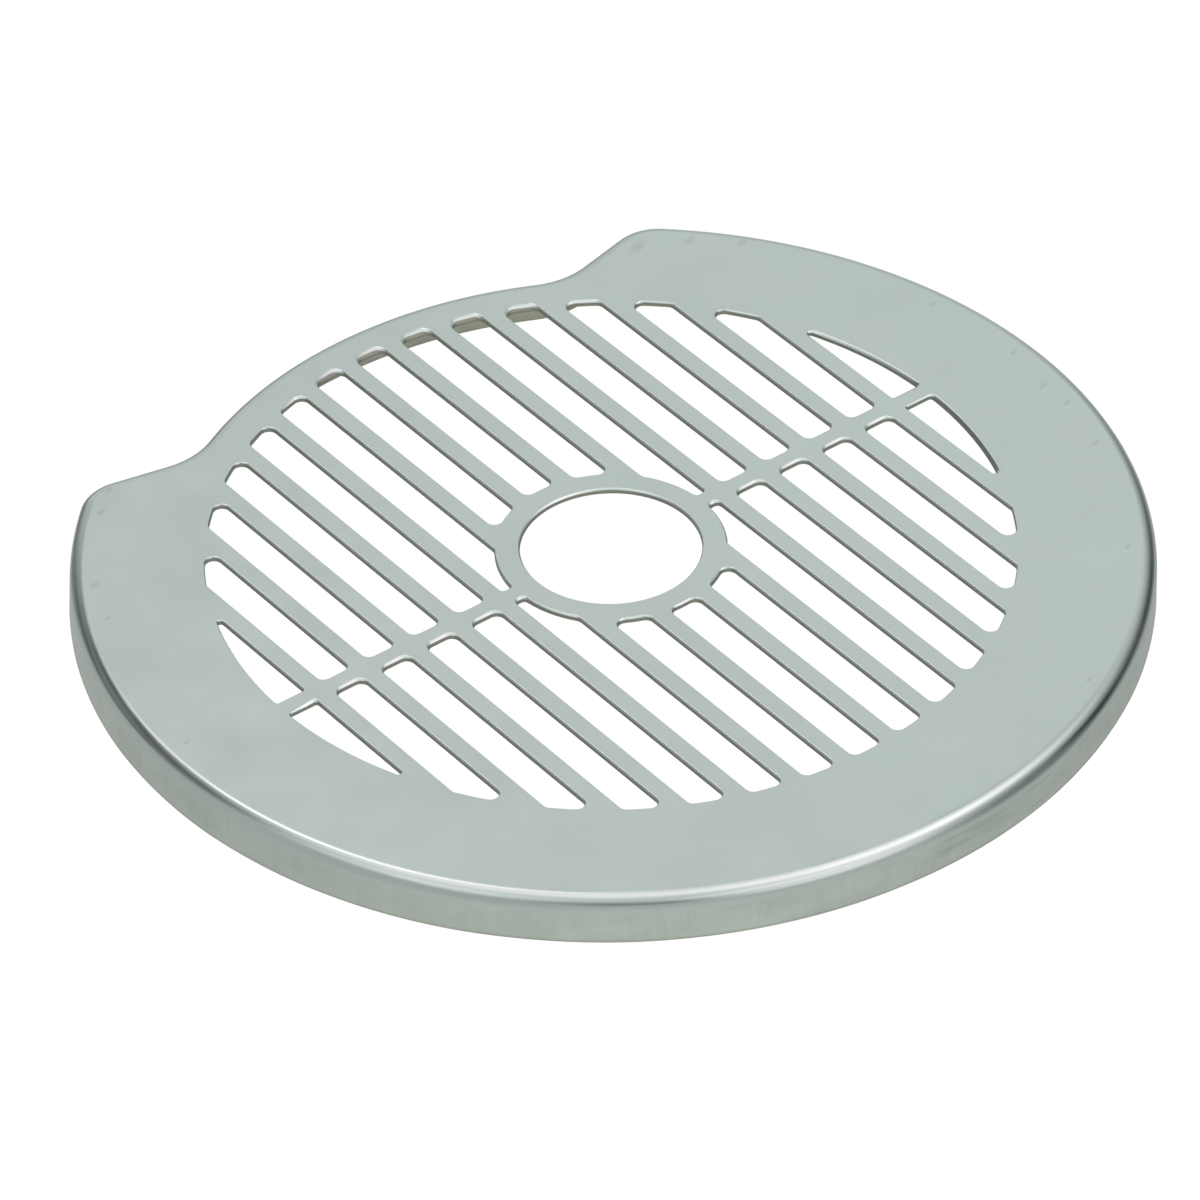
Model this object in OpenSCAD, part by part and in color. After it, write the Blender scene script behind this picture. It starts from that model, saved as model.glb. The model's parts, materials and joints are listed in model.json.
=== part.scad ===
// Slotted grate pressed from one sheet of stainless steel: a flat pierced plate whose whole edge
// is bent down into a short skirt. The outline is round, with a recess in its back edge.
//
// The origin is on the axis of the centre hole, on the plane that the skirt's lower edge stands
// on. +Y points at the recess and +Z up. The slots run along Y and the cross bar along X.

/* [Sheet] */
// Thickness of the sheet
sheet_t = 0.7; // [0.4:0.1:0.9]
// Height of the plate's top face above the skirt's lower edge
skirt_h = 6.3; // [5:0.1:12]
// Outside radius of the bend between the plate and the skirt
bend_r = 2.1; // [1.5:0.1:2.4]

/* [Outline] */
// Radius of the round outline, over the skirt
outline_r = 68.7; // [68:0.1:72]
// Radius of the recessed back edge, over the skirt
back_r = 57.3; // [56.5:0.1:58]
// Distance from the centre to the straight flank beside the recess
flank_dist = 41.2; // [40:0.1:42]
// Slope of the flank, in degrees, rising towards the corner
flank_slope = 12.8; // [11:0.1:14]
// Radius of the corner between the flank and the round outline
corner_r = 7; // [6:0.1:7.5]
// Radius of the hollow between the flank and the recessed back edge
hollow_r = 10.2; // [9:0.1:11]

/* [Openings] */
// Distance between the centre lines of neighbouring slots
slot_pitch = 7; // [6.8:0.05:7.1]
// Number of slot rows on each side of the centre row
side_rows = 7; // [5:1:7]
// Width of the bars between the slots, and of the cross bar
bar_w = 2.6; // [2:0.1:3]
// Radius of the circle that the slots end on
field_r = 51.1; // [50.5:0.1:52]
// Radius of the slots' corners
slot_corner_r = 1.1; // [0.4:0.1:1.3]
// Radius of the corners of the two outermost slots, which taper to narrow tips
tip_corner_r = 0.4; // [0.3:0.1:0.9]
// Radius of the corners where the ring narrows a slot beside the cross bar
neck_corner_r = 0.6; // [0.4:0.1:0.7]
// Diameter of the centre hole
hole_d = 23; // [18:0.5:24]
// Width of the ring around the centre hole
ring_w = 3.2; // [2.5:0.1:4]

/* [Hidden] */
$fn = 180;

// The blending arcs stand this far past tangency, so that they cross their neighbours cleanly
blend_lap = 0.2;
// How far cutting tools reach past the metal
reach = 2;
span = 2 * outline_r;
ring_r = hole_d / 2 + ring_w;
// The row that the ring narrows beside the cross bar
neck_row = round(ring_r / slot_pitch);

flank_dir = [cos(flank_slope), sin(flank_slope)];
flank_normal = [-sin(flank_slope), cos(flank_slope)];

// The point on the right that is at distance r from the origin, and at height h above the line
// through the origin that runs parallel to the flank
function flank_point(r, h) = sqrt(r * r - h * h) * flank_dir + h * flank_normal;

corner_centre = flank_point(outline_r - corner_r, flank_dist - corner_r);
hollow_centre = flank_point(back_r + hollow_r, flank_dist + hollow_r);

// A form is the solid that the outline encloses, with its top edge rounded. The sheet's outside
// is the form with inset 0, and its inside is the form with inset sheet_t.
function edge_r(inset) = bend_r - inset;
function top_z(inset) = skirt_h - inset;
function base_z(inset) = inset > 0 ? -reach : 0;

// Section of a form behind its side face at x = 0, down to z = low
module metal_section(inset, depth, low) {
    translate([-depth, low]) square([depth, top_z(inset) - edge_r(inset) - low]);
    translate([-depth, low]) square([depth - edge_r(inset), top_z(inset) - low]);
    translate([-edge_r(inset), top_z(inset) - edge_r(inset)]) circle(edge_r(inset));
}

// Section of the space outside a form's side face, out to x = width
module air_section(inset, width) {
    low = base_z(inset) - reach;
    difference() {
        translate([-edge_r(inset), low])
            square([width + edge_r(inset), top_z(inset) + reach - low]);
        metal_section(inset, 2 * edge_r(inset), low - reach);
    }
}

// The part of a section that lies right of the vertical axis
module right_half() {
    intersection() {
        translate([0, -span]) square(2 * span);
        children();
    }
}

module round_form(radius, inset) {
    rotate_extrude()
        right_half()
            translate([radius, 0]) metal_section(inset, 2 * radius, base_z(inset));
}

// Space beyond the flank on the right
module flank_air(inset) {
    rotate([0, 0, flank_slope])
        translate([0, flank_dist - inset, 0])
            rotate([90, 0, 90])
                linear_extrude(span) air_section(inset, span);
}

// Space beyond the rounded corner on the right: the sharp tip, less the corner's round form
module corner_air(inset) {
    outward = corner_centre / norm(corner_centre);
    low = base_z(inset) - reach;
    translate(corner_centre)
        difference() {
            translate([0, 0, low])
                linear_extrude(top_z(inset) + reach - low)
                    polygon(2 * corner_r * [[0, 0], outward, outward + flank_normal, flank_normal]);
            round_form(corner_r - inset + blend_lap, inset);
        }
}

// Metal in the hollow on the right, between the recessed back edge and the flank
module hollow_metal(inset) {
    inward = -hollow_centre / norm(hollow_centre);
    air_r = hollow_r + inset + blend_lap;
    translate(hollow_centre)
        difference() {
            translate([0, 0, base_z(inset)])
                linear_extrude(top_z(inset) - base_z(inset))
                    polygon(1.6 * hollow_r * [[0, 0], inward, -flank_normal]);
            rotate_extrude()
                right_half()
                    translate([air_r, 0]) mirror([1, 0]) air_section(inset, 2 * air_r);
        }
}

module form(inset) {
    difference() {
        round_form(outline_r - inset, inset);
        for (side = [0, 1]) mirror([side, 0, 0]) {
            flank_air(inset);
            corner_air(inset);
        }
    }
    round_form(back_r - inset, inset);
    for (side = [0, 1]) mirror([side, 0, 0]) hollow_metal(inset);
}

// Plan of some rows of slots: straight, cut off by the circle, the ring and the cross bar
module slot_rows(rows, corner) {
    offset(r = corner, $fn = 24)
        offset(delta = -corner)
            difference() {
                intersection() {
                    circle(field_r);
                    for (row = rows)
                        translate([row * slot_pitch, 0])
                            square([slot_pitch - bar_w, span], center = true);
                }
                circle(ring_r);
                square([span, bar_w], center = true);
            }
}

module slot_plan() {
    slot_rows([1 - side_rows : side_rows - 1], slot_corner_r);
    slot_rows([-side_rows, side_rows], tip_corner_r);
    intersection() {
        slot_rows([-neck_row, neck_row], neck_corner_r);
        square([span, ring_r], center = true);
    }
}

module grate_plate() {
    color("#b4bdb9")
        difference() {
            form(0);
            form(sheet_t);
            translate([0, 0, skirt_h - reach]) linear_extrude(2 * reach) slot_plan();
            translate([0, 0, skirt_h - reach]) cylinder(h = 2 * reach, d = hole_d);
        }
}

grate_plate();
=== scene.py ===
"""Looks of the slotted grate: one sheet of satin stainless steel, pierced, with its edge bent down.

The sheet is built here as a clean mesh in place of the CAD node: true arcs, rolled-over punched
edges, a smooth bend and a skirt that leans out a little. Lengths in the code are millimetres in
the CAD frame, except where a comment says metres. Nothing in the scene lights the steel but the
floor and the world.
"""

import json
import math

import bmesh
import bpy
from mathutils import Matrix, Vector, noise
from mathutils.geometry import delaunay_2d_cdt


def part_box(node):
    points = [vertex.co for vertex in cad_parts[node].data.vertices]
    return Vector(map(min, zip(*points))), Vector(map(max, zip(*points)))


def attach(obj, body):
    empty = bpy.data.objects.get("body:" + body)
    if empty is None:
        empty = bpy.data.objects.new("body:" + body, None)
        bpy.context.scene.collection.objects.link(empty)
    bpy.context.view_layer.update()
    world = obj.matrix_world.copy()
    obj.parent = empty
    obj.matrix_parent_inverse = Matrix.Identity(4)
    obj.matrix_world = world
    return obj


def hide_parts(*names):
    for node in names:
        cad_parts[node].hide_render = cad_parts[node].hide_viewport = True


MM = 0.001

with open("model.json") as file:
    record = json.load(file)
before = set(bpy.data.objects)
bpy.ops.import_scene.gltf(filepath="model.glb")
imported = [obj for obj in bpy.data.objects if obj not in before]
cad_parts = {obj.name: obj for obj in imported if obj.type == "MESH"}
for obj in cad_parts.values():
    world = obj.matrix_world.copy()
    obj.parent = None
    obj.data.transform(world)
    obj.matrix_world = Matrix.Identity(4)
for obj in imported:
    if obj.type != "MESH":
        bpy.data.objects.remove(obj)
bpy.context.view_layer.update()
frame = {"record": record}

# ---------------------------------------------------------------- sizes, from the frame and the design

plate_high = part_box("grate_plate")[1] / MM
mounts = {mount["name"]: mount for mount in frame["record"]["mounts"]}

OUTLINE_R = plate_high.x                 # round outline, at the skirt's lower edge
BACK_R = plate_high.y                    # recessed back edge
TOP = plate_high.z                       # top face of the plate
SHEET = TOP - mounts["plate_underside"]["pos_m"][2] / MM
HOLE_R = mounts["centre_hole"]["dims"]["r_mm"]

BEND_R = 2.1                             # outside radius of the bend
TIGHTER = 0.3                            # how much less it is on the far left
LEAN = math.radians(4.2)                 # how far the skirt leans out on the left; upright on the right
TUCK = 0.26                              # how much tighter the sheet is drawn on the left
FLANK_DIST = 41.2                        # straight flank beside the recess
FLANK_SLOPE = math.radians(12.8)
CORNER_R = 7.0                           # between the flank and the round outline
HOLLOW_R = 10.2                          # between the flank and the back edge

PITCH = 7.0                              # slot rows
SIDE_ROWS = 7
BAR_W = 2.6
SLOT_W = PITCH - BAR_W
FIELD_R = 51.1                           # the circle that the slots end on
RING_R = HOLE_R + 3.2                    # the ring around the centre hole
SLOT_CORNER_R = 1.1
TIP_CORNER_R = 0.4                       # the same in the outermost rows, which taper to tips
NECK_CORNER_R = 0.6                      # and where the ring narrows a slot beside the cross bar

SIDE_ROLL = (0.12, 0.12)                 # width and depth of the rolled-over top of a slot's sides
END_ROLL = (1.20, 0.39)                  # and of its ends, where they roll over most
ROLL_POWER = 1.5                         # how the roll-over steepens towards the opening
BAR_SHARE = 0.5                          # how much the edges of the cross bar, the ring and the
RING_SHARE = 0.2                         # hole are like a slot's end
HOLE_SHARE = 0.22
END_BAND = FIELD_R - 3 * SLOT_CORNER_R   # edges further out than this belong to the slots' ends
FULL_ENDS = (-8, 20)                     # the ends between these two x roll over most
FAINT_ENDS = (-18, 38)                   # and beyond these two least,
FAR_END = 0.05                           # which is this share of the most
RIGHT_END = 0.30                         # the share of the outermost slots on the right
BURR = 0.03                              # bevel at the foot of a punched edge
LIP_R = 0.15                             # rounding of the skirt's lower edge
GUARD = 0.12                             # narrow flat band beside each edge, which keeps faces flat
WAVE_FROM_TOP = 3.0                      # the skirt's waviness is full this far below the top face
WAVE_MEAN = 0.04                         # how far it lies inside the outline, on average
LONG_WAVE = (0.04, 0.09)                 # size of the long waves, and how many there are per mm
SHORT_WAVE = (0.012, 0.25)

ARC_STEP = 1.2                           # longest step along a large arc
CORNER_STEPS = 14                        # steps along the smaller arcs and through the sections
HOLLOW_STEPS = 10
FILLET_STEPS = 8
HOLE_STEPS = 96
ROLL_STEPS = 7
BEND_STEPS = 14
LIP_STEPS = 3


# ---------------------------------------------------------------- plan curves
# A loop is a counter-clockwise list of (point, normal, share). The normal points out of the metal.
# The share goes from 0 on a slot's side to 1 where an end rolls over most, or from 0 on the left of
# the outline to 1 on its right.

ORIGIN = Vector((0, 0))
FRONT = -math.pi / 2
BACK = math.pi / 2


def arc(centre, radius, start, end, steps, side=1, shares=(0, 0)):
    """Points on an arc from angle start to end, both included; side -1 turns the normals inwards."""
    loop = []
    for i in range(steps + 1):
        part = i / steps
        angle = start + (end - start) * part
        ray = Vector((math.cos(angle), math.sin(angle)))
        loop.append((centre + radius * ray, side * ray, shares[0] + (shares[1] - shares[0]) * part))
    return loop


def steps_for(radius, start, end):
    return max(2, math.ceil(abs(end - start) * radius / ARC_STEP))


def mirrored(loop, x=1, y=1):
    """The loop mirrored in either axis, and still counter-clockwise."""
    flip = [(Vector((p.x * x, p.y * y)), Vector((n.x * x, n.y * y)), share) for p, n, share in loop]
    return flip if x * y > 0 else flip[::-1]


def outline():
    """The sheet's outline at the skirt's lower edge, from the front round to the front."""
    along = Vector((math.cos(FLANK_SLOPE), math.sin(FLANK_SLOPE)))
    across = Vector((-along.y, along.x))

    def flank_point(r, h):
        return math.sqrt(r * r - h * h) * along + h * across

    corner = flank_point(OUTLINE_R - CORNER_R, FLANK_DIST - CORNER_R)
    hollow = flank_point(BACK_R + HOLLOW_R, FLANK_DIST + HOLLOW_R)
    corner_angle = math.atan2(corner.y, corner.x)
    hollow_angle = math.atan2(hollow.y, hollow.x)
    flank_angle = math.pi / 2 + FLANK_SLOPE

    right = arc(ORIGIN, OUTLINE_R, FRONT, corner_angle, steps_for(OUTLINE_R, FRONT, corner_angle))
    right += arc(corner, CORNER_R, corner_angle, flank_angle, CORNER_STEPS)[1:]
    right += arc(hollow, HOLLOW_R, flank_angle - math.pi, hollow_angle - math.pi, HOLLOW_STEPS, side=-1)
    right += arc(ORIGIN, BACK_R, hollow_angle, BACK, steps_for(BACK_R, hollow_angle, BACK))[1:]
    loop = right[:-1] + mirrored(right, x=-1)[:-1]
    return [(point, normal, 0.5 + 0.5 * point.x / OUTLINE_R) for point, normal, _ in loop]


def slot_curves(row):
    """The curves round the slot of a row (0 or more) behind the cross bar, counter-clockwise.

    Each is (kind, value, side, corner): "x" and "y" are straight lines at that value, "r" is a
    circle about the origin, side is 1 where the slot lies on the greater side of the curve, and
    corner is the radius of the rounded corner that comes before it.
    """
    left = row * PITCH - SLOT_W / 2
    right = row * PITCH + SLOT_W / 2
    ring_meets_bar = math.sqrt(RING_R**2 - (BAR_W / 2) ** 2)
    corner = TIP_CORNER_R if row == SIDE_ROWS else SLOT_CORNER_R
    neck = NECK_CORNER_R if left < ring_meets_bar < right else corner
    curves = [("r", FIELD_R, -1, corner), ("x", left, 1, corner)]
    if left < ring_meets_bar:
        curves.append(("r", RING_R, 1, corner))
    if right > ring_meets_bar:
        curves.append(("y", BAR_W / 2, 1, neck))
    if right < FIELD_R:
        curves.append(("x", right, -1, neck))
    return curves


def fillet_centre(first, second):
    """Centre of the rounded corner between two of a slot's curves."""
    corner = second[3]
    at = {kind: value + side * corner for kind, value, side, _ in (first, second)}
    if "r" not in at:
        return Vector((at["x"], at["y"]))
    if "x" in at:
        return Vector((at["x"], math.sqrt(at["r"] ** 2 - at["x"] ** 2)))
    return Vector((math.sqrt(at["r"] ** 2 - at["y"] ** 2), at["y"]))


def touch(curve, centre):
    """Where a fillet about centre touches the curve."""
    kind, value, _, _ = curve
    if kind == "x":
        return Vector((value, centre.y))
    if kind == "y":
        return Vector((centre.x, value))
    return centre.normalized() * value


def angle_of(ray):
    return math.atan2(ray.y, ray.x)


def slot_loop(row):
    """The slot of a row behind the cross bar: its curves, with a rounded corner between each two."""
    curves = slot_curves(row)
    shares = [{"x": 0, "y": BAR_SHARE, "r": RING_SHARE}[kind] for kind, _, _, _ in curves]
    shares[0] = 1
    loop = []
    for i, curve in enumerate(curves):
        kind, value, side, corner = curve
        centre = fillet_centre(curves[i - 1], curve)
        first = angle_of(touch(curves[i - 1], centre) - centre)
        turn = (angle_of(touch(curve, centre) - centre) - first) % (2 * math.pi)
        loop += arc(centre, corner, first, first + turn, FILLET_STEPS, side=-1,
                    shares=(shares[i - 1], shares[i]))
        if kind == "r":
            start = angle_of(centre)
            end = angle_of(fillet_centre(curve, curves[(i + 1) % len(curves)]))
            steps = steps_for(value, start, end)
            loop += arc(ORIGIN, value, start, end, steps, side=side, shares=(shares[i], shares[i]))[1:-1]
    return loop


def askew(loop):
    """The loop as an uneven punch cuts it: edges that face the front roll over, near x = 0 most."""
    uneven = []
    for point, normal, share in loop:
        rolled = max(0, -normal.y)
        if point.x > SIDE_ROWS * PITCH - SLOT_W / 2:
            rolled = RIGHT_END
        elif point.length > END_BAND:
            from_left = (point.x - FAINT_ENDS[0]) / (FULL_ENDS[0] - FAINT_ENDS[0])
            from_right = (point.x - FAINT_ENDS[1]) / (FULL_ENDS[1] - FAINT_ENDS[1])
            rolled *= max(FAR_END, min(1, from_left, from_right))
        uneven.append((point, normal, share * rolled))
    return uneven


def opening_loops():
    """The centre hole and every slot."""
    hole = arc(ORIGIN, HOLE_R, 0, 2 * math.pi, HOLE_STEPS, side=-1, shares=(HOLE_SHARE, HOLE_SHARE))
    loops = [askew(hole[:-1])]
    for row in range(SIDE_ROWS + 1):
        behind = slot_loop(row)
        for x in (1, -1) if row else (1,):
            for y in (1, -1):
                loops.append(askew(mirrored(behind, x, y)))
    return loops


# ---------------------------------------------------------------- sections
# A section is a list of (inset, z, material): how far a ring of points lies inside its loop, its
# height, and the material of the band of faces that follows it.

OUTSIDE, CUT, INSIDE = 0, 1, 2           # material slots of the sheet


def opening_section(share):
    """Down a punched edge: rolled over at the top, straight below, with a small bevel at the foot."""
    width, depth = [side + share * (end - side) for side, end in zip(SIDE_ROLL, END_ROLL)]
    section = [(width + GUARD, TOP, OUTSIDE)]
    for i in range(ROLL_STEPS + 1):
        part = i / ROLL_STEPS
        section.append((width * (1 - part), TOP - depth * part**ROLL_POWER, CUT))
    under = TOP - SHEET
    return section + [(0, under + BURR, CUT), (BURR, under, INSIDE), (BURR + GUARD, under, INSIDE)]


def rim_section(share):
    """From the plate's top face round the bend, down the skirt, and back up its inner side."""
    lean = LEAN * (1 - share)
    sine, cosine = math.sin(lean), math.cos(lean)
    bend_r = BEND_R - TIGHTER * max(0, 1 - 2 * share)
    inner = bend_r - SHEET
    bend_z = TOP - bend_r
    drop = (bend_z + inner * sine) / cosine
    bend_inset = bend_r * cosine + (drop - LIP_R) * sine + TUCK * (1 - share)

    def bend_point(radius, angle, material):
        return bend_inset - radius * math.sin(angle), bend_z + radius * math.cos(angle), material

    def skirt_point(radius, distance, material):
        return (bend_inset - radius * cosine - distance * sine,
                bend_z + radius * sine - distance * cosine, material)

    sweep = math.pi / 2 - lean
    angles = [sweep * i / BEND_STEPS for i in range(BEND_STEPS + 1)]
    section = [(bend_inset + GUARD, TOP, OUTSIDE)]
    section += [bend_point(bend_r, angle, OUTSIDE) for angle in angles]
    section += [skirt_point(bend_r, distance, OUTSIDE) for distance in (GUARD, drop / 2)]
    for i in range(LIP_STEPS + 1):
        angle = math.pi / 2 * i / LIP_STEPS
        section.append(skirt_point(bend_r - LIP_R * (1 - math.cos(angle)),
                                   drop - LIP_R * (1 - math.sin(angle)), CUT))
    section += [skirt_point(inner + BURR, drop, CUT), skirt_point(inner, drop - BURR, INSIDE)]
    section += [skirt_point(inner, distance, INSIDE) for distance in (drop / 2, GUARD)]
    section += [bend_point(inner, angle, INSIDE) for angle in angles[::-2]]
    return section + [(bend_inset + GUARD, TOP - SHEET, INSIDE)]


# ---------------------------------------------------------------- mesh

def sweep_section(mesh, loop, section_at, wobble=None):
    """Runs a section round a loop; returns the first and the last ring of vertices."""
    columns = []
    for point, normal, share in loop:
        section = section_at(share)
        column = []
        for inset, z, _ in section:
            push = wobble(point, z) if wobble else 0
            place = point - normal * (inset + push)
            column.append(mesh.verts.new((place.x, place.y, z)))
        columns.append(column)
    for near, far in zip(columns, columns[1:] + columns[:1]):
        for i in range(len(near) - 1):
            face = mesh.faces.new((near[i], far[i], far[i + 1], near[i + 1]))
            face.material_index = section[i][2]
            face.smooth = True
    return [column[0] for column in columns], [column[-1] for column in columns]


def inside(x, y, ring):
    """Whether (x, y) lies inside the ring of vertices."""
    odd = False
    for a, b in zip(ring, ring[1:] + ring[:1]):
        (ax, ay, _), (bx, by, _) = a.co, b.co
        if (ay > y) != (by > y) and x < ax + (y - ay) * (bx - ax) / (by - ay):
            odd = not odd
    return odd


def fill_face(mesh, rings, material):
    """Fills the flat face between the outer ring, which comes first, and the openings' rings."""
    verts, edges, owner = [], [], []
    for number, ring in enumerate(rings):
        first = len(verts)
        count = len(ring)
        verts += ring
        owner += [number] * count
        edges += [(first + i, first + (i + 1) % count) for i in range(count)]
    flat = [vert.co.to_2d() for vert in verts]
    _, _, triangles, origin, _, _ = delaunay_2d_cdt(flat, edges, [], 1, 1e-6)
    for triangle in triangles:
        corners = [origin[i][0] for i in triangle]
        owners = {owner[i] for i in corners}
        if len(owners) == 1 and 0 not in owners:
            middle = sum((flat[i] for i in corners), Vector((0, 0))) / 3
            if inside(middle.x, middle.y, rings[owners.pop()]):
                continue
        face = mesh.faces.new([verts[i] for i in corners])
        face.material_index = material
        face.smooth = True


def skirt_wobble(point, z):
    """A drawn skirt is a little uneven: it waves inwards, more so away from the bend."""
    depth = min(1, max(0, (TOP - z) / WAVE_FROM_TOP))
    waves = WAVE_MEAN
    for (size, per_mm), layer in ((LONG_WAVE, 0), (SHORT_WAVE, 40)):
        waves += size * noise.noise(Vector((point.x, point.y, layer)) * per_mm)
    return depth * waves


def build_sheet():
    mesh = bmesh.new()
    edges = [sweep_section(mesh, outline(), rim_section, skirt_wobble)]
    edges += [sweep_section(mesh, loop, opening_section) for loop in opening_loops()]
    fill_face(mesh, [top for top, _ in edges], OUTSIDE)
    fill_face(mesh, [under for _, under in edges], INSIDE)
    bmesh.ops.recalc_face_normals(mesh, faces=mesh.faces)
    bmesh.ops.scale(mesh, vec=(MM, MM, MM), verts=mesh.verts)
    data = bpy.data.meshes.new("grate_sheet")
    mesh.to_mesh(data)
    mesh.free()
    sheet = bpy.data.objects.new("grate_sheet", data)
    bpy.context.scene.collection.objects.link(sheet)
    return sheet


# ---------------------------------------------------------------- node helpers

def add(tree, kind, inputs=None, **settings):
    """A new node with its settings and inputs; an input is a value or another node's output."""
    made = tree.nodes.new(kind)
    for name, value in settings.items():
        setattr(made, name, value)
    for name, value in (inputs or {}).items():
        if isinstance(value, bpy.types.NodeSocket):
            tree.links.new(value, made.inputs[name])
        else:
            made.inputs[name].default_value = value
    return made


def calc(tree, operation, a, b):
    return add(tree, "ShaderNodeMath", {0: a, 1: b}, operation=operation).outputs[0]


def spread(tree, value, low, high, to_low=0.0, to_high=1.0, smooth=True):
    """Maps value from low..high to to_low..to_high, held at both ends."""
    kind = "SMOOTHSTEP" if smooth else "LINEAR"
    inputs = {"Value": value, "From Min": low, "From Max": high, "To Min": to_low, "To Max": to_high}
    return add(tree, "ShaderNodeMapRange", inputs, interpolation_type=kind).outputs["Result"]


def mix(tree, share, a, b, blend="MIX"):
    """Colour a where share is 0 and b where it is 1."""
    made = add(tree, "ShaderNodeMix", data_type="RGBA", blend_type=blend)
    for socket, value in ((0, share), (6, a), (7, b)):
        if isinstance(value, bpy.types.NodeSocket):
            tree.links.new(value, made.inputs[socket])
        else:
            made.inputs[socket].default_value = value
    return made.outputs[2]


def new_material(name):
    material = bpy.data.materials.new(name)
    material.use_nodes = True
    material.node_tree.nodes.clear()
    return material, material.node_tree


def place_mm(tree):
    """Object coordinates in millimetres."""
    place = add(tree, "ShaderNodeTexCoord").outputs["Object"]
    return add(tree, "ShaderNodeVectorMath", {0: place, "Scale": 1 / MM}, operation="SCALE").outputs[0]


def stretched(tree, place, scale):
    return add(tree, "ShaderNodeVectorMath", {0: place, 1: scale}, operation="MULTIPLY").outputs[0]


def cloud(tree, place, scale, detail=3.0, roughness=0.5):
    """Noise about 0.5."""
    inputs = {"Vector": place, "Scale": scale, "Detail": detail, "Roughness": roughness}
    return add(tree, "ShaderNodeTexNoise", inputs, noise_dimensions="3D").outputs["Fac"]


def grained(tree, place, scale):
    """Fine noise about 0.5, drawn out along the axes where the scale is small."""
    return cloud(tree, stretched(tree, place, scale), 1.0, 3.0, 0.6)


def swing(tree, cloudy, amount, reach=0.2):
    """Noise about 0.5 turned into a swing of that amount either side of 0."""
    return spread(tree, cloudy, 0.5 - reach, 0.5 + reach, -amount, amount, smooth=False)


# ---------------------------------------------------------------- materials

STEEL = (0.667, 0.773, 0.734, 1)
SKIRT_STEEL = (0.658, 0.750, 0.666, 1)
FOOT_STEEL = (0.500, 0.500, 0.420, 1)    # the skirt's lower edge, darker and yellower towards the bottom
TORN_STEEL = ((0.270, 0.290, 0.240, 1), (0.370, 0.385, 0.320, 1))
FRONT_LIT_WALL_STEEL = (0.370, 0.400, 0.330, 1)     # torn walls that face the front, painted lighter: painted light
INNER_STEEL = (0.445, 0.475, 0.370, 1)
WHITE = (1, 1, 1, 1)

SCUFF_AND_SHADE_ANGLE = math.radians(-66)          # where the skirt is scuffed, and painted darker there as painted shade
SCUFF_AND_SHADE_REACH = math.radians(48)           # and how far both go on either side
MARK_TURN = math.radians(20)             # the handling marks all run this way in plan
MARK_SHAPE = (1.0, 0.5)                  # length and width of a mark, relative to its size
MARK_CORE = 0.2                          # how much of its size is at full strength
# Faint handling marks near the rim: angle in plan (degrees), distance from the centre, and size
MARKS = (
    (-63, 65, 0.7), (-39, 65, 1.1), (-20, 65, 1.1), (-12, 65, 1.2), (-8, 64, 1.2), (-1, 65, 0.8),
    (12, 65, 0.7), (37, 66, 1.3), (43, 65, 1.7), (49, 63, 2.2), (131, 65, 1.0), (135, 65, 1.1),
    (148, 65, 1.3), (154, 64, 0.8), (178, 64, 0.8),
)


def polar(angle, radius):
    return Vector((radius * math.cos(angle), radius * math.sin(angle), 0))


def handling_marks(tree, place):
    """1 in the handling marks and 0 elsewhere."""
    turned = add(tree, "ShaderNodeVectorRotate", {"Vector": place, "Angle": -MARK_TURN},
                 rotation_type="Z_AXIS").outputs[0]
    shape = Vector((1 / MARK_SHAPE[0], 1 / MARK_SHAPE[1], 0))
    flat = add(tree, "ShaderNodeVectorMath", {0: turned, 1: shape}, operation="MULTIPLY").outputs[0]
    marks = 0.0
    for angle, radius, size in MARKS:
        centre = polar(math.radians(angle) - MARK_TURN, radius) * shape
        away = add(tree, "ShaderNodeVectorMath", {0: flat, 1: centre}, operation="DISTANCE")
        mark = spread(tree, away.outputs["Value"], size, MARK_CORE * size)
        marks = calc(tree, "MAXIMUM", mark, marks)
    return marks


def toward(tree, place, angle, half_width):
    """1 within a third of half_width of that angle in plan, falling to 0 at half_width."""
    flat = add(tree, "ShaderNodeVectorMath", {0: place, 1: (1, 1, 0)}, operation="MULTIPLY").outputs[0]
    unit = add(tree, "ShaderNodeVectorMath", {0: flat}, operation="NORMALIZE").outputs[0]
    facing = add(tree, "ShaderNodeVectorMath", {0: unit, 1: polar(angle, 1)}, operation="DOT_PRODUCT")
    return spread(tree, facing.outputs["Value"], math.cos(half_width), math.cos(half_width / 3))


def shaded(tree, colour, tone):
    """The colour made lighter or darker by that tone, which is 0 where it stays as it is."""
    tone = calc(tree, "ADD", tone, 1.0)
    grey = add(tree, "ShaderNodeCombineColor", {"Red": tone, "Green": tone, "Blue": tone}).outputs[0]
    return mix(tree, 1.0, colour, grey, "MULTIPLY")


def metal(tree, colour, rough, height, strength, distance):
    """Metal with that colour and roughness, and a bump of that height."""
    bump = add(tree, "ShaderNodeBump", {"Height": height, "Strength": strength, "Distance": distance * MM})
    shader = add(tree, "ShaderNodeBsdfPrincipled",
                 {"Base Color": colour, "Metallic": 1.0, "Roughness": rough, "Normal": bump.outputs[0]})
    add(tree, "ShaderNodeOutputMaterial", {"Surface": shader.outputs[0]})


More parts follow.
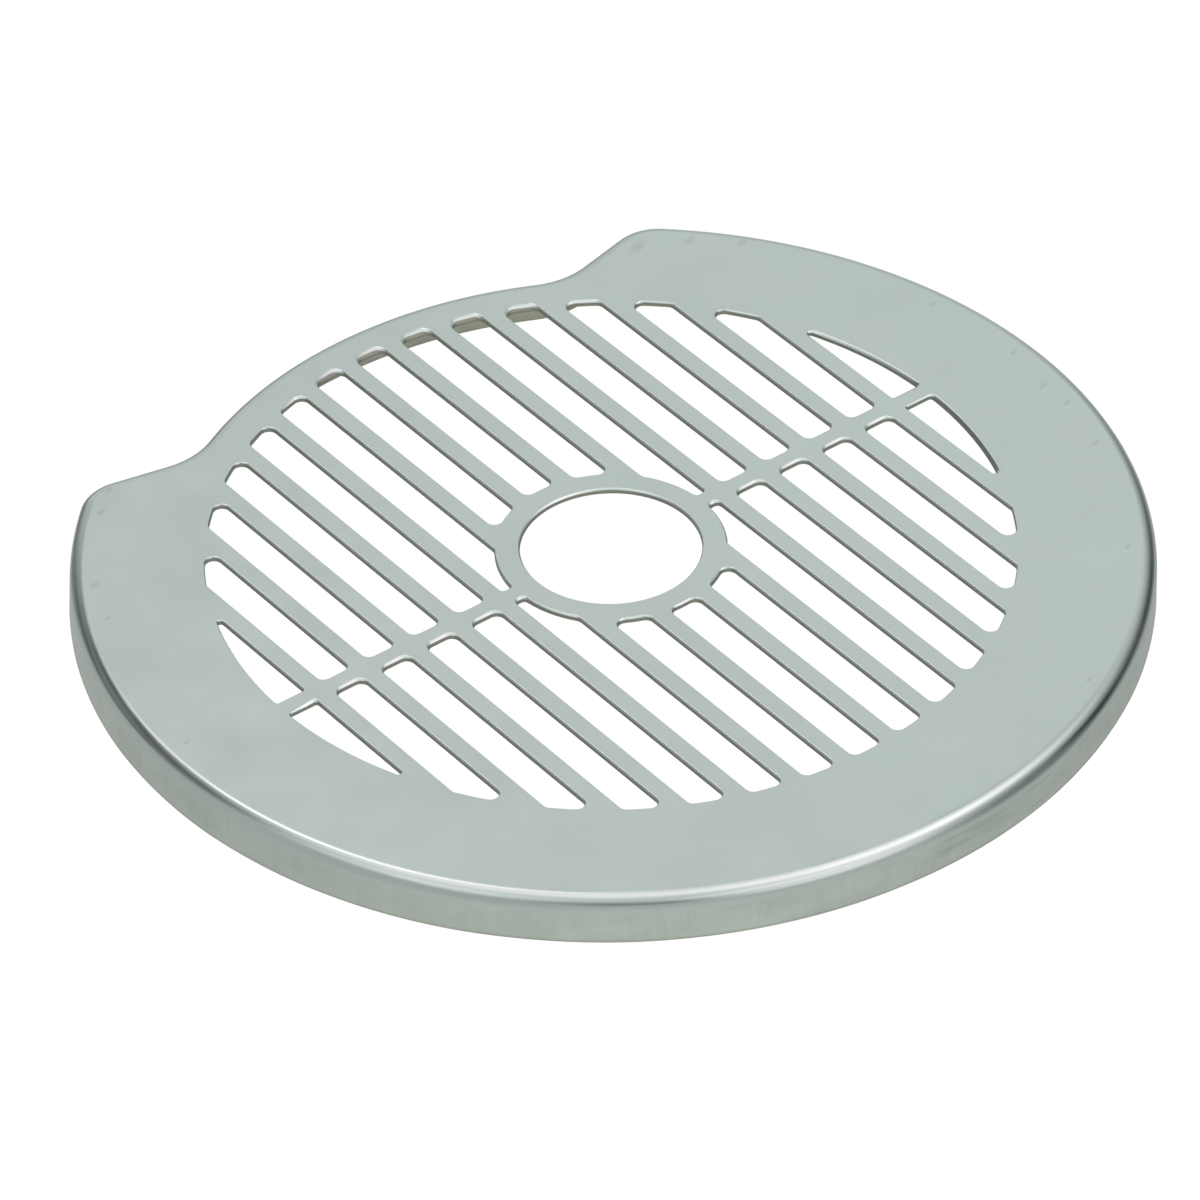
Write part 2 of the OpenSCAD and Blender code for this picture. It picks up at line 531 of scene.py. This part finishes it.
def satin_steel():
    """Satin sheet: a fine grain and handling marks on the plate, draw marks and scuffs on the skirt, and
    painted shade over the skirt's front-right.
    """
    material, tree = new_material("satin_stainless")
    place = place_mm(tree)
    height = add(tree, "ShaderNodeSeparateXYZ", {0: place}).outputs["Z"]
    skirt = spread(tree, height, TOP - 0.6 * BEND_R, TOP - 1.1 * BEND_R)
    foot = spread(tree, height, 0.7, 0.1)

    grain = grained(tree, place, (0.5, 5.0, 5.0))
    mottle = cloud(tree, place, 0.07, 2.0)
    streaks = grained(tree, place, (0.8, 0.8, 0.10))
    stains = cloud(tree, stretched(tree, place, (0.13, 0.13, 0.40)), 1.0, 2.0)
    scuffed_and_shaded = toward(tree, place, SCUFF_AND_SHADE_ANGLE, SCUFF_AND_SHADE_REACH)
    scuffs = cloud(tree, stretched(tree, place, (0.14, 0.14, 0.8)), 1.0)
    scuffs = calc(tree, "MULTIPLY", spread(tree, scuffs, 0.54, 0.70), scuffed_and_shaded)

    tone = calc(tree, "ADD", swing(tree, grain, 0.012), swing(tree, mottle, 0.015, reach=0.15))
    tone = calc(tree, "SUBTRACT", tone, calc(tree, "MULTIPLY", handling_marks(tree, place), 0.10))
    drawn = calc(tree, "ADD", swing(tree, streaks, 0.03), swing(tree, stains, 0.05))
    drawn = calc(tree, "SUBTRACT", drawn, calc(tree, "MULTIPLY", scuffs, 0.11))
    # painted shade: the skirt is made darker all over its front-right, not only in the scuffs
    drawn = calc(tree, "SUBTRACT", drawn, calc(tree, "MULTIPLY", scuffed_and_shaded, 0.08))
    tone = calc(tree, "ADD", tone, calc(tree, "MULTIPLY", drawn, skirt))

    colour = mix(tree, skirt, STEEL, SKIRT_STEEL)
    colour = mix(tree, calc(tree, "MULTIPLY", foot, 0.6), colour, FOOT_STEEL)
    rough = calc(tree, "ADD", 0.23, swing(tree, stains, 0.03))
    metal(tree, shaded(tree, colour, tone), rough, grain, 0.05, 0.004)
    return material


def cut_steel():
    """Sheared metal of the punched edges: bright roll-over on top, dull torn wall below, painted lighter
    as painted light where it faces the front.
    """
    material, tree = new_material("punched_edge")
    place = place_mm(tree)
    height = add(tree, "ShaderNodeSeparateXYZ", {0: place}).outputs["Z"]
    wall = spread(tree, height, TOP - 0.14, TOP - 0.22)
    tear = grained(tree, place, (5.0, 5.0, 0.8))
    normal = add(tree, "ShaderNodeNewGeometry").outputs["Normal"]
    facing = add(tree, "ShaderNodeVectorMath", {0: normal, 1: (0, -1, 0)}, operation="DOT_PRODUCT")
    # painted light: torn walls that face the front get a lighter colour than those that face elsewhere
    end = spread(tree, facing.outputs["Value"], 0.3, 0.8)

    torn_and_front_lit = mix(tree, end, mix(tree, tear, *TORN_STEEL), FRONT_LIT_WALL_STEEL)
    rough = calc(tree, "ADD", 0.24, calc(tree, "MULTIPLY", wall, 0.25))
    metal(tree, mix(tree, wall, STEEL, torn_and_front_lit), rough, calc(tree, "MULTIPLY", tear, wall), 0.25, 0.05)
    return material


def inner_steel():
    """The inside of the pressing: the same sheet, duller, with long marks from the press."""
    material, tree = new_material("pressed_inside")
    place = place_mm(tree)
    grain = grained(tree, place, (0.4, 4.0, 0.4))
    stains = cloud(tree, place, 0.12)
    tone = calc(tree, "ADD", swing(tree, grain, 0.03), swing(tree, stains, 0.08))
    metal(tree, shaded(tree, INNER_STEEL, tone), 0.36, grain, 0.10, 0.03)
    return material


# ---------------------------------------------------------------- studio

VIEW_AZIMUTH = -36.99                    # the camera's direction from its target, in degrees
VIEW_ELEVATION = 38.99
VIEW_ROLL = -1.236                       # how far it is turned about its own axis, in degrees
VIEW_DISTANCE = 1.05255                  # in metres
VIEW_TARGET = Vector((-7.704, -7.684, TOP)) * MM
LENS = 253.1                             # focal length, and width of the sensor
SENSOR = 36.0

FLOOR_HALF = 4.0                         # half the floor's side, in metres
FLOOR_GAP = 0.0002                       # how far it lies below the grate, in metres

CAMERA_GLOW = 1.02                       # light from floor and backdrop, as the camera sees it
BASE_GLOW = 0.46                         # light from most directions, as the steel sees it
LEAST_GLOW = 0.03
LAMP_TINT = (1.08, 0.94, 1.00, 1)        # the soft boxes are a little pinker than the rest,
LAMP_LEVELS = (0.75, 1.15)               # fading in between these levels of light
# Soft boxes and flags round the steel: azimuth from the camera and elevation (degrees), where the
# light is full and where it is gone (degrees from that direction), and the light that it adds
SURROUNDINGS = (
    (175, 95, 21, 54, 0.74),             # wide box overhead
    (179, 47, 0, 70, 0.89),              # broad pale backdrop
    (40, 39, 0, 28, 0.79),               # small box at the front, on the right
    (-126, 36, 0, 38, -0.52),            # dark flag on the left
    (-157, 13, 12, 40, -0.44),           # the same, lower down
    (-142, 69, 0, 45, -0.86),            # the same, overhead
    (157, 27, 0, 46, -0.40),             # dark flag on the right
    (90, 7, 0, 31, -0.26),               # the same, further forward
    (20, 54, 0, 37, -0.60),              # the camera's own dark side
    (-166, 52, 5, 10, 1.25),             # narrow box at the back
    (157, 61, 17, 21, -0.16),            # narrow flag at the back
    (134, 21, 0, 45, -0.41),             # the flag on the right, lower down
    (19, -53, 0, 82, 0.12),              # pale table in front
)


def from_view(azimuth, elevation):
    """Unit vector from the object towards a viewer at that azimuth and elevation."""
    a, e = math.radians(azimuth), math.radians(elevation)
    return Vector((math.sin(a) * math.cos(e), -math.cos(a) * math.cos(e), math.sin(e)))


def surroundings(tree, direction):
    """How light the studio is in a direction."""
    level = BASE_GLOW
    for azimuth, elevation, full, gone, gain in SURROUNDINGS:
        axis = from_view(VIEW_AZIMUTH + azimuth, elevation)
        facing = add(tree, "ShaderNodeVectorMath", {0: direction, 1: axis}, operation="DOT_PRODUCT")
        edge, core = math.cos(math.radians(gone)), math.cos(math.radians(full))
        level = calc(tree, "ADD", spread(tree, facing.outputs["Value"], edge, core, 0.0, gain), level)
    return calc(tree, "MAXIMUM", level, LEAST_GLOW)


def studio_light(tree, direction):
    """Colour and strength of the light: white for the camera, and the surroundings for the steel."""
    level = surroundings(tree, direction)
    colour = mix(tree, spread(tree, level, *LAMP_LEVELS), WHITE, LAMP_TINT)
    camera = add(tree, "ShaderNodeLightPath").outputs["Is Camera Ray"]
    glow = {0: camera, 2: level, 3: CAMERA_GLOW}
    strength = add(tree, "ShaderNodeMix", glow, data_type="FLOAT").outputs[0]
    return {"Color": mix(tree, camera, colour, WHITE), "Strength": strength}


def studio_floor():
    """A lit white table, open from below so that the underside can be looked at."""
    material, tree = new_material("lit_table")
    geometry = add(tree, "ShaderNodeNewGeometry").outputs
    onward = add(tree, "ShaderNodeVectorMath", {0: geometry["Incoming"], "Scale": -1.0}, operation="SCALE")
    glow = add(tree, "ShaderNodeEmission", studio_light(tree, onward.outputs[0]))
    clear = add(tree, "ShaderNodeBsdfTransparent")
    shader = add(tree, "ShaderNodeMixShader",
                 {0: geometry["Backfacing"], 1: glow.outputs[0], 2: clear.outputs[0]})
    add(tree, "ShaderNodeOutputMaterial", {"Surface": shader.outputs[0]})

    data = bpy.data.meshes.new("floor")
    corners = [(x * FLOOR_HALF, y * FLOOR_HALF, 0) for x, y in ((-1, -1), (1, -1), (1, 1), (-1, 1))]
    data.from_pydata(corners, [], [(0, 1, 2, 3)])
    floor = bpy.data.objects.new("floor", data)
    floor.location.z = -FLOOR_GAP
    data.materials.append(material)
    bpy.context.scene.collection.objects.link(floor)


def studio_world():
    """Pale all round for the camera; for the steel, soft boxes and flags."""
    world = bpy.data.worlds.new("studio")
    bpy.context.scene.world = world
    world.use_nodes = True
    tree = world.node_tree
    tree.nodes.clear()
    direction = add(tree, "ShaderNodeTexCoord").outputs["Generated"]
    background = add(tree, "ShaderNodeBackground", studio_light(tree, direction))
    add(tree, "ShaderNodeOutputWorld", {"Surface": background.outputs[0]})


def studio_camera():
    data = bpy.data.cameras.new("camera")
    data.lens = LENS
    data.sensor_width = SENSOR
    data.clip_start = 0.05
    data.clip_end = 20
    camera = bpy.data.objects.new("camera", data)
    back = from_view(VIEW_AZIMUTH, VIEW_ELEVATION)
    level = back.to_track_quat("Z", "Y").to_matrix()
    roll = Matrix.Rotation(math.radians(VIEW_ROLL), 3, "Z")
    camera.matrix_world = Matrix.Translation(VIEW_TARGET + back * VIEW_DISTANCE) @ (level @ roll).to_4x4()
    bpy.context.scene.collection.objects.link(camera)
    bpy.context.scene.camera = camera


# ---------------------------------------------------------------- scene

sheet = build_sheet()
for material in (satin_steel(), cut_steel(), inner_steel()):
    sheet.data.materials.append(material)
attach(sheet, "root")
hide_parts("grate_plate")

studio_floor()
studio_world()
studio_camera()
bpy.context.scene.view_settings.view_transform = "Standard"
